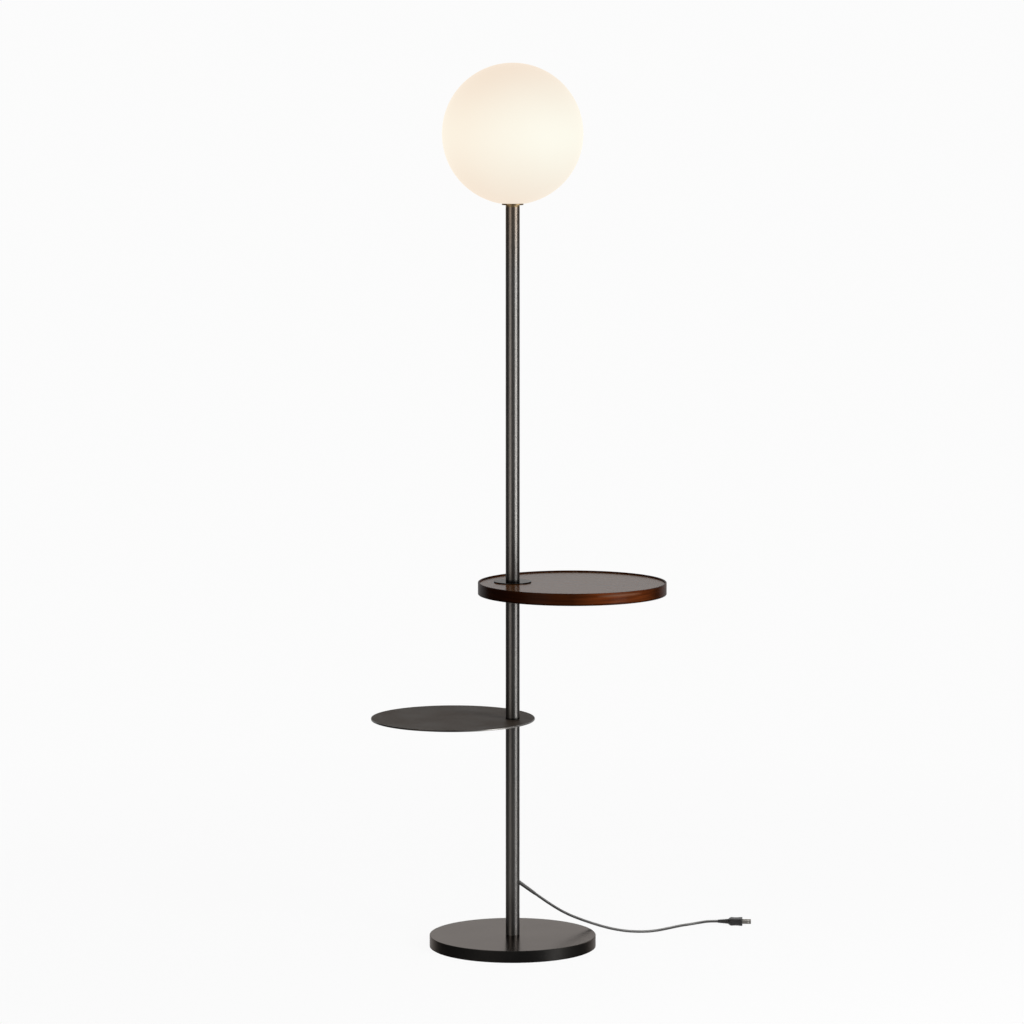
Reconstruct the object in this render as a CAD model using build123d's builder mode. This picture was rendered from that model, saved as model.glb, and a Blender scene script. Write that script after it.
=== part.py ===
from build123d import *
import os
from math import cos, pi, radians, sin, sqrt, tan

# A floor lamp: a round weighted base, a pole in three lengths, a round metal shelf and a round
# wooden tray that swivel where the lengths meet, and an opal globe on top.
# Sizes are in millimetres. The origin is on the floor at the pole's axis and +Z is up.
# The tray reaches out along +X and the shelf along -X.

# Fits between pieces
fit_room = 0.05
pivot_room = 0.05
glue_room = 0.1
lay_room = 0.3
thread_room = 0.1

# Base
base_diameter = 304.0
base_height = 22.0
base_cover_wall = 1.5
base_edge_radius = 1.0
base_skirt_lift = 1.0
base_pad_thickness = 2.0
base_pad_opening = 44.0
bolt_recess_diameter = 34.0
bolt_recess_depth = 10.0
bolt_diameter = 10.0
bolt_hole_room = 0.5
bolt_head_flats = 17.0
bolt_head_height = 6.4
bolt_grip = 20.0
base_washer_diameter = 28.0
base_washer_thickness = 2.0

# Pole
pole_diameter = 25.4
pole_wall = 1.5
lower_tube_length = 394.7
middle_tube_length = 234.9
upper_tube_length = 677.6
foot_insert_length = 25.0
insert_length = 20.0
stud_diameter = 14.0
stud_bore = 8.0
stud_grip = 15.0
swivel_washer_thickness = 1.0
swivel_washer_seat = 0.5
swivel_washer_room = 0.2

# Shelf
shelf_diameter = 299.0
shelf_thickness = 3.0
shelf_reach = 110.0
shelf_edge_radius = 0.8

# Tray
tray_diameter = 342.0
tray_reach = 109.0
tray_rim_width = 3.0
tray_rim_rise = 2.6
tray_rim_drop = 7.4
tray_rim_edge_radius = 1.0
tray_ledge_width = 6.0
tray_floor_thickness = 12.0
tray_floor_opening = 20.0
flange_diameter = 68.0
flange_thickness = 3.5
flange_seat = 1.5
flange_edge_radius = 0.3
under_flange_diameter = 60.0
under_flange_thickness = 3.0
flange_screw_count = 4
flange_screw_circle = 46.0
flange_screw_diameter = 4.0
flange_screw_hole_room = 0.2
flange_screw_bite = 2.5
flange_screw_head_diameter = 7.0
flange_screw_head_height = 2.2
flange_screw_socket_flats = 2.5
flange_screw_socket_depth = 1.3

# Globe and its seat
globe_diameter = 254.0
globe_wall = 3.0
globe_foot_diameter = 50.0
globe_mouth_diameter = 33.0
globe_neck_height = 12.0
globe_seat_diameter = 39.0
globe_seat_thickness = 2.5
globe_seat_neck = 3.6
globe_gasket_diameter = 37.0
globe_gasket_thickness = 0.5
spigot_diameter = 30.0
spigot_wall = 3.0
spigot_height = 6.0
collar_flange_diameter = 40.0
collar_flange_thickness = 2.0
nipple_diameter = 10.0
nipple_bore = 6.6
nipple_grip = 15.0
neck_nut_flats = 14.0
neck_nut_height = 5.0

# Lampholder and bulb
holder_diameter = 27.0
holder_wall = 2.0
holder_lift = 0.5
holder_floor = 4.0
holder_cup_height = 16.0
holder_skirt_height = 30.0
insulator_lift = 1.0
insulator_thickness = 7.0
contact_diameter = 4.0
contact_head_diameter = 7.0
contact_head_height = 1.5
shell_wall = 0.85
shell_height = 20.0
bulb_cap_diameter = 13.9
bulb_cap_height = 18.0
bulb_cap_room = 0.2
bulb_tip_diameter = 6.0
bulb_tip_height = 1.5
bulb_diameter = 22.0
bulb_neck_height = 2.5
bulb_shoulder_height = 6.0
bulb_length = 100.0
bulb_wall = 1.2
led_board_width = 9.0
led_board_thickness = 1.6
led_board_length = 76.0

# Cord and plug
cord_diameter = 5.0
cord_exit_height = 117.9
cord_heading = 32.4
cord_dip = 36.5
bush_diameter = 7.0
bush_inside = 2.0
bush_shoulder = 4.0
bush_nose_length = 40.0
bush_nose_diameter = 5.9
plug_place = (353.6, 245.0)
plug_heading = 5.0
plug_relief_length = 20.0
plug_relief_start = 6.6
plug_relief_end = 10.5
plug_width = 24.0
plug_thickness = 14.0
plug_length = 26.0
plug_corner_radius = 4.0
plug_edge_radius = 1.6
blade_spacing = 12.7
blade_width = 6.3
blade_thickness = 1.5
blade_length = 16.0
blade_tip_chamfer = 0.6
blade_hole_diameter = 3.0
blade_hole_reach = 11.0

# Radii and heights that follow from the sizes above
pole_radius = pole_diameter / 2
tube_bore = pole_radius - pole_wall
insert_radius = tube_bore - fit_room
stud_radius = stud_diameter / 2
pivot_radius = stud_radius + pivot_room
washer_stand = swivel_washer_thickness - swivel_washer_seat
washer_radius = pole_radius - swivel_washer_room
washer_seat_radius = pole_radius + swivel_washer_room

lower_top = base_height + lower_tube_length
shelf_bottom = lower_top + washer_stand
shelf_top = shelf_bottom + shelf_thickness
middle_bottom = shelf_top + washer_stand
middle_top = middle_bottom + middle_tube_length
under_flange_bottom = middle_top + washer_stand
tray_floor_bottom = under_flange_bottom + under_flange_thickness
tray_floor_top = tray_floor_bottom + tray_floor_thickness
flange_bottom = tray_floor_top - flange_seat
flange_top = flange_bottom + flange_thickness
upper_bottom = flange_top + washer_stand
upper_top = upper_bottom + upper_tube_length
seat_bottom = upper_top + globe_seat_neck
seat_top = seat_bottom + globe_seat_thickness
globe_bottom = seat_top + globe_gasket_thickness

shelf_centre = (-shelf_reach, 0)
tray_centre = (tray_reach, 0)


def round_piece(radius, bottom, top, bore=0.0, centre=(0, 0)):
    """An upright disc, ring or tube."""
    with BuildPart() as piece:
        with BuildSketch(Plane((*centre, bottom))):
            Circle(radius)
            if bore:
                Circle(bore, mode=Mode.SUBTRACT)
        extrude(amount=top - bottom)
    return piece


def round_stack(radius, bore, thickness, bottoms):
    """Equal rings on the pole's axis, one at each of the given heights."""
    with BuildPart() as piece:
        for bottom in bottoms:
            with BuildSketch(Plane.XY.offset(bottom)):
                Circle(radius)
                Circle(bore, mode=Mode.SUBTRACT)
            extrude(amount=thickness)
    return piece


# Base cover: a spun steel shell, open below
cover_radius = base_diameter / 2
cover_bore = cover_radius - base_cover_wall
cover_ceiling = base_height - base_cover_wall
bolt_radius = bolt_diameter / 2
with BuildPart() as base_cover:
    with BuildSketch(Plane.XY.offset(base_skirt_lift)):
        Circle(cover_radius)
    extrude(amount=base_height - base_skirt_lift)
    fillet(base_cover.edges().group_by(Axis.Z)[-1], base_edge_radius)
    with BuildSketch(Plane.XY.offset(base_skirt_lift)):
        Circle(cover_bore)
    extrude(amount=cover_ceiling - base_skirt_lift, mode=Mode.SUBTRACT)
    with BuildSketch(Plane.XY.offset(cover_ceiling)):
        Circle(bolt_radius + bolt_hole_room)
    extrude(amount=base_cover_wall, mode=Mode.SUBTRACT)

# Base weight: a cast disc that fills the cover, recessed below for the bolt's head
weight_radius = cover_bore - lay_room
recess_top = base_pad_thickness + bolt_recess_depth
with BuildPart() as base_weight:
    with BuildSketch(Plane.XY.offset(base_pad_thickness)):
        Circle(weight_radius)
        Circle(bolt_radius + bolt_hole_room, mode=Mode.SUBTRACT)
    extrude(amount=cover_ceiling - base_pad_thickness)
    with BuildSketch(Plane.XY.offset(base_pad_thickness)):
        Circle(bolt_recess_diameter / 2)
    extrude(amount=bolt_recess_depth, mode=Mode.SUBTRACT)

# Foam pad under the weight, open in the middle for the spanner
base_pad = round_piece(weight_radius, 0, base_pad_thickness, base_pad_opening / 2)

# Bolt and washer that hold the pole to the base
head_top = recess_top - base_washer_thickness
base_washer = round_piece(base_washer_diameter / 2, head_top, recess_top, bolt_radius + bolt_hole_room)
with BuildPart() as base_bolt:
    with BuildSketch(Plane.XY.offset(head_top)):
        RegularPolygon(bolt_head_flats / 2, side_count=6, major_radius=False)
    extrude(amount=-bolt_head_height)
    with BuildSketch(Plane.XY.offset(head_top)):
        Circle(bolt_radius)
    extrude(amount=base_height + bolt_grip - head_top)

# Where the cord comes out of the pole
exit_heading = radians(cord_heading)
exit_dip = radians(cord_dip)
exit_level = cos(exit_dip)
exit_direction = Vector(cos(exit_heading) * exit_level, sin(exit_heading) * exit_level, -sin(exit_dip))
bend_corner = Vector(0, 0, cord_exit_height + pole_radius * tan(exit_dip))
exit_distance = pole_radius / cos(exit_dip)
bush_start = tube_bore / cos(exit_dip) - bush_inside
bush_shank = exit_distance + bush_shoulder - bush_start
bush_end = exit_distance + bush_nose_length
bush_radius = bush_diameter / 2
cord_radius = cord_diameter / 2
bush_plane = Plane(origin=bend_corner + exit_direction * bush_start, z_dir=exit_direction)

# Pole tubes
with BuildPart() as lower_tube:
    with BuildSketch(Plane.XY.offset(base_height)):
        Circle(pole_radius)
        Circle(tube_bore, mode=Mode.SUBTRACT)
    extrude(amount=lower_tube_length)
    with BuildSketch(bush_plane):
        Circle(bush_radius + fit_room)
    extrude(amount=bush_shank, mode=Mode.SUBTRACT)
middle_tube = round_piece(pole_radius, middle_bottom, middle_top, tube_bore)
upper_tube = round_piece(pole_radius, upper_bottom, upper_top, tube_bore)

# Inserts pressed into the tubes' ends
stud_hole = stud_radius + fit_room
foot_insert_top = base_height + foot_insert_length
foot_insert = round_piece(insert_radius, base_height, foot_insert_top, bolt_radius + fit_room)
lower_top_insert = round_piece(insert_radius, lower_top - insert_length, lower_top, stud_hole)
middle_bottom_insert = round_piece(insert_radius, middle_bottom, middle_bottom + insert_length, stud_hole)
middle_top_insert = round_piece(insert_radius, middle_top - insert_length, middle_top, stud_hole)
upper_bottom_insert = round_piece(insert_radius, upper_bottom, upper_bottom + insert_length, stud_hole)
nipple_radius = nipple_diameter / 2
upper_top_insert = round_piece(insert_radius, upper_top - insert_length, upper_top, nipple_radius + fit_room)

# Hollow studs that join the tubes, and the nylon washers that the shelf and the tray turn on
shelf_stud = round_piece(stud_radius, lower_top - stud_grip, middle_bottom + stud_grip, stud_bore / 2)
tray_stud = round_piece(stud_radius, middle_top - stud_grip, upper_bottom + stud_grip, stud_bore / 2)
shelf_washers = round_stack(
    washer_radius, stud_hole, swivel_washer_thickness, (lower_top, middle_bottom - swivel_washer_thickness)
)
tray_washers = round_stack(
    washer_radius, stud_hole, swivel_washer_thickness, (middle_top, upper_bottom - swivel_washer_thickness)
)

# Shelf: one round steel plate, sunk a little round the pole on both faces
with BuildPart() as shelf_plate:
    with BuildSketch(Plane((*shelf_centre, shelf_bottom))):
        Circle(shelf_diameter / 2)
    extrude(amount=shelf_thickness)
    fillet(shelf_plate.edges(), shelf_edge_radius)
    with BuildSketch(Plane.XY.offset(shelf_bottom)):
        Circle(pivot_radius)
    extrude(amount=shelf_thickness, mode=Mode.SUBTRACT)
    for sunk_from, sunk_way in ((shelf_bottom, 1), (shelf_top, -1)):
        with BuildSketch(Plane.XY.offset(sunk_from)):
            Circle(washer_seat_radius)
        extrude(amount=sunk_way * swivel_washer_seat, mode=Mode.SUBTRACT)

# Tray rim: a turned wooden ring with an inner ledge
rim_outer = tray_diameter / 2
rim_inner = rim_outer - tray_rim_width
ledge_inner = rim_inner - tray_ledge_width
rim_bottom = tray_floor_bottom - tray_rim_drop
rim_top = tray_floor_top + tray_rim_rise
with BuildPart() as tray_rim:
    with BuildSketch(Plane((*tray_centre, rim_bottom))):
        Circle(rim_outer)
    extrude(amount=rim_top - rim_bottom)
    fillet(tray_rim.edges(), tray_rim_edge_radius)
    with BuildSketch(Plane((*tray_centre, rim_bottom))):
        Circle(ledge_inner)
    extrude(amount=rim_top - rim_bottom, mode=Mode.SUBTRACT)
    with BuildSketch(Plane((*tray_centre, tray_floor_bottom))):
        Circle(rim_inner)
    extrude(amount=rim_top - tray_floor_bottom, mode=Mode.SUBTRACT)
    rim_mouth = tray_rim.edges().group_by(Axis.Z)[-1].sort_by(SortBy.LENGTH)[0]
    fillet(rim_mouth, tray_rim_edge_radius)

# Tray floor: a panel dropped onto the ledge, with a shallow seat for the upper flange
floor_radius = rim_inner - glue_room
screw_hole = flange_screw_diameter / 2 + flange_screw_hole_room
flange_radius = flange_diameter / 2
with BuildPart() as tray_floor:
    with BuildSketch(Plane((*tray_centre, tray_floor_bottom))):
        Circle(floor_radius)
    extrude(amount=tray_floor_thickness)
    with BuildSketch(Plane.XY.offset(tray_floor_bottom)):
        Circle(tray_floor_opening / 2)
        with PolarLocations(flange_screw_circle / 2, flange_screw_count):
            Circle(screw_hole)
    extrude(amount=tray_floor_thickness, mode=Mode.SUBTRACT)
    with BuildSketch(Plane.XY.offset(flange_bottom)):
        Circle(flange_radius + glue_room)
    extrude(amount=flange_seat, mode=Mode.SUBTRACT)

# Tray flanges: steel discs above and below the floor, clamped by screws from below
with BuildPart() as tray_top_flange:
    with BuildSketch(Plane.XY.offset(flange_bottom)):
        Circle(flange_radius)
    extrude(amount=flange_thickness)
    fillet(tray_top_flange.edges().group_by(Axis.Z)[-1], flange_edge_radius)
    with BuildSketch(Plane.XY.offset(flange_bottom)):
        Circle(pivot_radius)
    extrude(amount=flange_thickness, mode=Mode.SUBTRACT)
    with BuildSketch(Plane.XY.offset(flange_top)):
        Circle(washer_seat_radius)
    extrude(amount=-swivel_washer_seat, mode=Mode.SUBTRACT)
    with BuildSketch(Plane.XY.offset(flange_bottom)):
        with PolarLocations(flange_screw_circle / 2, flange_screw_count):
            Circle(flange_screw_diameter / 2 + fit_room)
    extrude(amount=flange_screw_bite, mode=Mode.SUBTRACT)
with BuildPart() as tray_under_flange:
    with BuildSketch(Plane.XY.offset(under_flange_bottom)):
        Circle(under_flange_diameter / 2)
        Circle(pivot_radius, mode=Mode.SUBTRACT)
        with PolarLocations(flange_screw_circle / 2, flange_screw_count):
            Circle(screw_hole, mode=Mode.SUBTRACT)
    extrude(amount=under_flange_thickness)
    with BuildSketch(Plane.XY.offset(under_flange_bottom)):
        Circle(washer_seat_radius)
    extrude(amount=swivel_washer_seat, mode=Mode.SUBTRACT)
screw_head_bottom = under_flange_bottom - flange_screw_head_height
screw_tip = flange_bottom + flange_screw_bite
with BuildPart() as tray_flange_screws:
    with BuildSketch(Plane.XY.offset(screw_head_bottom)):
        with PolarLocations(flange_screw_circle / 2, flange_screw_count):
            Circle(flange_screw_head_diameter / 2)
            RegularPolygon(
                flange_screw_socket_flats / 2, side_count=6, major_radius=False, mode=Mode.SUBTRACT
            )
    extrude(amount=flange_screw_socket_depth)
    with BuildSketch(Plane.XY.offset(screw_head_bottom + flange_screw_socket_depth)):
        with PolarLocations(flange_screw_circle / 2, flange_screw_count):
            Circle(flange_screw_head_diameter / 2)
    extrude(amount=flange_screw_head_height - flange_screw_socket_depth)
    with BuildSketch(Plane.XY.offset(under_flange_bottom)):
        with PolarLocations(flange_screw_circle / 2, flange_screw_count):
            Circle(flange_screw_diameter / 2)
    extrude(amount=screw_tip - under_flange_bottom)

# Globe seat: a turned disc on a neck as wide as the pole, with a hollow spigot that the globe's
# collar screws over
spigot_radius = spigot_diameter / 2
spigot_top = seat_top + spigot_height
with BuildPart() as globe_seat:
    for radius, bottom, top in (
        (pole_radius, upper_top, seat_bottom),
        (globe_seat_diameter / 2, seat_bottom, seat_top),
    ):
        with BuildSketch(Plane.XY.offset(bottom)):
            Circle(radius)
            Circle(nipple_radius + fit_room, mode=Mode.SUBTRACT)
        extrude(amount=top - bottom)
    with BuildSketch(Plane.XY.offset(seat_top)):
        Circle(spigot_radius)
        Circle(spigot_radius - spigot_wall, mode=Mode.SUBTRACT)
    extrude(amount=spigot_height)
globe_gasket = round_piece(globe_gasket_diameter / 2, seat_top, globe_bottom, spigot_radius + fit_room)

# Globe: an opal shell with a flat foot round its mouth, held as two halves and a neck that meet
# face to face
globe_radius = globe_diameter / 2
globe_inner = globe_radius - globe_wall
foot_radius = globe_foot_diameter / 2
mouth_radius = globe_mouth_diameter / 2
globe_centre = globe_bottom + sqrt(globe_radius**2 - foot_radius**2)
mouth_top = globe_centre - sqrt(globe_inner**2 - mouth_radius**2)
with BuildPart() as globe_shell:
    with BuildSketch(Plane.XZ):
        with BuildLine():
            Line((mouth_radius, globe_bottom), (foot_radius, globe_bottom))
            ThreePointArc(
                (foot_radius, globe_bottom), (globe_radius, globe_centre), (0, globe_centre + globe_radius)
            )
            Line((0, globe_centre + globe_radius), (0, globe_centre + globe_inner))
            ThreePointArc(
                (0, globe_centre + globe_inner), (globe_inner, globe_centre), (mouth_radius, mouth_top)
            )
            Line((mouth_radius, mouth_top), (mouth_radius, globe_bottom))
        make_face()
    revolve(axis=Axis.Z)
globe_waist = Plane.XY.offset(globe_centre)
globe_neck_line = Plane.XY.offset(globe_bottom + globe_neck_height)
with BuildPart() as globe_upper_half:
    add(globe_shell.part)
    split(bisect_by=globe_waist, keep=Keep.TOP)
with BuildPart() as globe_lower_half:
    add(globe_shell.part)
    split(bisect_by=globe_waist, keep=Keep.BOTTOM)
    split(bisect_by=globe_neck_line, keep=Keep.TOP)
with BuildPart() as globe_neck:
    add(globe_shell.part)
    split(bisect_by=globe_neck_line, keep=Keep.BOTTOM)

# Collar: a threaded ring cemented into the globe's mouth
collar_bore = spigot_radius + thread_room
collar_radius = mouth_radius - glue_room
collar_flange_radius = collar_flange_diameter / 2
collar_flange_bottom = globe_centre - sqrt(globe_inner**2 - collar_flange_radius**2) + glue_room
collar_top = collar_flange_bottom + collar_flange_thickness
with BuildPart() as globe_collar:
    with BuildSketch(Plane.XY.offset(globe_bottom)):
        Circle(collar_radius)
        Circle(collar_bore, mode=Mode.SUBTRACT)
    extrude(amount=collar_top - globe_bottom)
    with BuildSketch(Plane.XY.offset(collar_flange_bottom)):
        Circle(collar_flange_radius)
        Circle(collar_bore, mode=Mode.SUBTRACT)
    extrude(amount=collar_flange_thickness)

# Lampholder: a cup on the hollow nipple, a skirt, an insulator, a threaded shell and a contact
holder_radius = holder_diameter / 2
holder_bore = holder_radius - holder_wall
cup_bottom = spigot_top + holder_lift
cup_top = cup_bottom + holder_cup_height
skirt_top = cup_top + holder_skirt_height
insulator_bottom = cup_top + insulator_lift
insulator_top = insulator_bottom + insulator_thickness
contact_top = insulator_top + contact_head_height
contact_radius = contact_diameter / 2
neck_nipple = round_piece(nipple_radius, upper_top - nipple_grip, cup_bottom + holder_floor, nipple_bore / 2)
with BuildPart() as neck_nut:
    with BuildSketch(Plane.XY.offset(seat_top)):
        RegularPolygon(neck_nut_flats / 2, side_count=6, major_radius=False)
        Circle(nipple_radius + fit_room, mode=Mode.SUBTRACT)
    extrude(amount=neck_nut_height)
with BuildPart() as holder_cup:
    with BuildSketch(Plane.XY.offset(cup_bottom)):
        Circle(holder_radius)
        Circle(nipple_radius + fit_room, mode=Mode.SUBTRACT)
    extrude(amount=holder_cup_height)
    with BuildSketch(Plane.XY.offset(cup_bottom + holder_floor)):
        Circle(holder_bore)
    extrude(amount=holder_cup_height - holder_floor, mode=Mode.SUBTRACT)
holder_skirt = round_piece(holder_radius, cup_top, skirt_top, holder_bore)
holder_insulator = round_piece(
    holder_bore - fit_room, insulator_bottom, insulator_top, contact_radius + fit_room
)
shell_bore = bulb_cap_diameter / 2 + bulb_cap_room
holder_shell = round_piece(shell_bore + shell_wall, insulator_top, insulator_top + shell_height, shell_bore)
with BuildPart() as holder_contact:
    with BuildSketch(Plane.XY.offset(insulator_bottom)):
        Circle(contact_radius)
    extrude(amount=insulator_thickness)
    with BuildSketch(Plane.XY.offset(insulator_top)):
        Circle(contact_head_diameter / 2)
    extrude(amount=contact_head_height)

# Bulb: a slim opal tube on a small screw cap, with a board of diodes inside
cap_radius = bulb_cap_diameter / 2
bulb_radius = bulb_diameter / 2
cap_bottom = contact_top + bulb_tip_height
cap_top = cap_bottom + bulb_cap_height
neck_top = max(cap_top, skirt_top) + bulb_neck_height
shoulder_top = neck_top + bulb_shoulder_height
bulb_top = cap_top + bulb_length
bulb_tip = round_piece(bulb_tip_diameter / 2, contact_top, cap_bottom)
bulb_cap = round_piece(cap_radius, cap_bottom, cap_top)


def bulb_form(inset):
    """The bulb's turned shape, drawn in from its outer face by the given wall."""
    neck = cap_radius - inset
    wide = bulb_radius - inset
    dome_foot = bulb_top - bulb_radius
    top = dome_foot + wide
    lean = wide * sqrt(0.5)
    with BuildPart() as form:
        with BuildSketch(Plane.XZ):
            with BuildLine():
                Polyline(
                    (0, cap_top), (neck, cap_top), (neck, neck_top), (wide, shoulder_top), (wide, dome_foot)
                )
                ThreePointArc((wide, dome_foot), (lean, dome_foot + lean), (0, top))
                Line((0, top), (0, cap_top))
            make_face()
        revolve(axis=Axis.Z)
    return form


bulb_outside = bulb_form(0)
bulb_inside = bulb_form(bulb_wall)
with BuildPart() as bulb_envelope:
    add(bulb_outside.part)
    add(bulb_inside.part, mode=Mode.SUBTRACT)
with BuildPart() as bulb_led_board:
    with BuildSketch(Plane.XY.offset(cap_top)):
        Rectangle(led_board_width, led_board_thickness)
    extrude(amount=led_board_length)

# Cord bush: a tapered strain relief set in the tube's wall
with BuildPart(bush_plane) as cord_bush:
    Cylinder(bush_radius, bush_shank, align=(Align.CENTER, Align.CENTER, Align.MIN))
    with Locations((0, 0, bush_shank)):
        Cone(
            bush_radius,
            bush_nose_diameter / 2,
            bush_end - bush_start - bush_shank,
            align=(Align.CENTER, Align.CENTER, Align.MIN),
        )
    with BuildSketch(bush_plane):
        Circle(cord_radius + fit_room)
    extrude(amount=bush_end - bush_start, mode=Mode.SUBTRACT)

# Cable inside the pole, from the lampholder down to the end of the bush
cable_top = Vector(0, 0, insulator_bottom)
cord_start = bend_corner + exit_direction * bush_end
bend_share = 0.9
bend_radius = bend_share * bush_start / tan((pi / 2 - exit_dip) / 2)
with BuildPart() as inner_cable:
    with BuildLine() as cable_path:
        FilletPolyline(cable_top, bend_corner, cord_start, radius=[bend_radius])
    with BuildSketch(Plane(origin=cable_top, z_dir=(0, 0, -1))):
        Circle(cord_radius)
    sweep(path=cable_path.line)

# Free cord: out of the bush, down past the base's edge and along the floor to the plug.
# The first and last points follow from the bush and the plug, the others are chosen by hand.
plug_angle = radians(plug_heading)
plug_direction = Vector(cos(plug_angle), sin(plug_angle), 0)
plug_entry = Vector(*plug_place, plug_thickness / 2)
first_run = 12.0
last_run = 17.0
cord_points = [
    cord_start,
    cord_start + exit_direction * first_run,
    Vector(67.5, 42.9, 68.8),
    Vector(90.9, 60.0, 51.1),
    Vector(115.1, 77.6, 37.6),
    Vector(140.9, 96.2, 25.0),
    Vector(167.8, 115.1, 13.8),
    Vector(196.3, 134.6, 5.7),
    Vector(225.5, 150.6, 2.5),
    Vector(246.4, 163.2, 2.5),
    Vector(265.7, 187.6, 2.5),
    Vector(287.2, 217.6, 2.5),
    Vector(304.0, 233.0, 2.5),
    Vector(319.5, 241.2, 4.2),
    plug_entry - plug_direction * last_run,
    plug_entry,
]
arc_share = 0.45


def corner_radius(before, corner, after):
    """The largest arc that the two runs beside a corner of the cord's route allow."""
    arriving = corner - before
    leaving = after - corner
    half_turn = radians(arriving.get_angle(leaving)) / 2
    return arc_share * min(arriving.length, leaving.length) / tan(half_turn)


cord_radii = [corner_radius(*cord_points[i - 1 : i + 2]) for i in range(1, len(cord_points) - 1)]
with BuildPart() as cord:
    with BuildLine() as cord_path:
        FilletPolyline(*cord_points, radius=cord_radii)
    with BuildSketch(Plane(origin=cord_start, z_dir=exit_direction)):
        Circle(cord_radius)
    sweep(path=cord_path.line)

# Plug: a moulded body with a tapered strain relief, and two flat blades
plug_plane = Plane(origin=plug_entry, x_dir=(-sin(plug_angle), cos(plug_angle), 0), z_dir=plug_direction)
with BuildPart(plug_plane) as plug_body:
    with BuildSketch(plug_plane.offset(plug_relief_length)):
        RectangleRounded(plug_width, plug_thickness, plug_corner_radius)
    extrude(amount=plug_length)
    plug_ends = plug_body.faces().filter_by(GeomType.PLANE).filter_by(Axis((0, 0, 0), plug_direction))
    fillet(plug_ends.edges(), plug_edge_radius)
    Cone(
        plug_relief_start / 2,
        plug_relief_end / 2,
        plug_relief_length,
        align=(Align.CENTER, Align.CENTER, Align.MIN),
    )
with BuildPart() as plug_blades:
    with BuildSketch(plug_plane.offset(plug_relief_length + plug_length)):
        with GridLocations(blade_spacing, 0, 2, 1):
            Rectangle(blade_thickness, blade_width)
    extrude(amount=blade_length)
    blade_tips = plug_blades.faces().sort_by(Axis(plug_entry, plug_direction))[-2:]
    chamfer(blade_tips.edges(), blade_tip_chamfer)
    blade_hole_place = plug_plane.offset(plug_relief_length + plug_length + blade_hole_reach).origin
    with BuildSketch(Plane(origin=blade_hole_place, x_dir=plug_direction, z_dir=plug_plane.x_dir)):
        Circle(blade_hole_diameter / 2)
    extrude(amount=plug_width / 2, both=True, mode=Mode.SUBTRACT)

pieces = {
    "base_cover": base_cover,
    "base_weight": base_weight,
    "base_pad": base_pad,
    "base_washer": base_washer,
    "base_bolt": base_bolt,
    "lower_tube": lower_tube,
    "middle_tube": middle_tube,
    "upper_tube": upper_tube,
    "foot_insert": foot_insert,
    "lower_top_insert": lower_top_insert,
    "middle_bottom_insert": middle_bottom_insert,
    "middle_top_insert": middle_top_insert,
    "upper_bottom_insert": upper_bottom_insert,
    "upper_top_insert": upper_top_insert,
    "shelf_stud": shelf_stud,
    "tray_stud": tray_stud,
    "shelf_washers": shelf_washers,
    "tray_washers": tray_washers,
    "shelf_plate": shelf_plate,
    "tray_rim": tray_rim,
    "tray_floor": tray_floor,
    "tray_top_flange": tray_top_flange,
    "tray_under_flange": tray_under_flange,
    "tray_flange_screws": tray_flange_screws,
    "globe_seat": globe_seat,
    "globe_gasket": globe_gasket,
    "globe_upper_half": globe_upper_half,
    "globe_lower_half": globe_lower_half,
    "globe_neck": globe_neck,
    "globe_collar": globe_collar,
    "neck_nipple": neck_nipple,
    "neck_nut": neck_nut,
    "holder_cup": holder_cup,
    "holder_skirt": holder_skirt,
    "holder_insulator": holder_insulator,
    "holder_shell": holder_shell,
    "holder_contact": holder_contact,
    "bulb_tip": bulb_tip,
    "bulb_cap": bulb_cap,
    "bulb_envelope": bulb_envelope,
    "bulb_led_board": bulb_led_board,
    "cord_bush": cord_bush,
    "inner_cable": inner_cable,
    "cord": cord,
    "plug_body": plug_body,
    "plug_blades": plug_blades,
}
os.makedirs("parts", exist_ok=True)
for piece_name, piece in pieces.items():
    piece.part.label = piece_name
    export_step(piece.part, f"parts/{piece_name}.step")

cord_length = sum(edge.length for edge in cord_path.edges())
print("cord radii", [round(radius, 1) for radius in cord_radii])
print("cord length", round(cord_length, 1))
cord_section = pi * cord_radius**2
print("cord volume", round(cord.part.volume, 1), "section by length", round(cord_section * cord_length, 1))
print("globe centre", round(globe_centre, 2), "top", round(globe_centre + globe_radius, 2))
print("shelf top", shelf_top, "tray floor", tray_floor_top, "rim", rim_bottom, rim_top, "bulb top", bulb_top)
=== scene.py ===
# %% [markdown]
# # A floor lamp with a tray and a shelf
# The lamp has a weighted base, a pole in three lengths, a thin shelf, a wooden tray and an opal globe.
# Its solid pieces come ready-made from a CAD model, at their real size and place, in metres.
# This lesson lights them, gives each one its finish, and models what a plain solid can't show: a cord
# that lies under its own weight, a moulded plug, a rolled screw thread and a seamless globe.

# %% Load the frame
from math import acos, asin, copysign, cos, pi, radians, sin, tau

import bmesh
import bpy
from mathutils import Matrix, Vector


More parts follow.
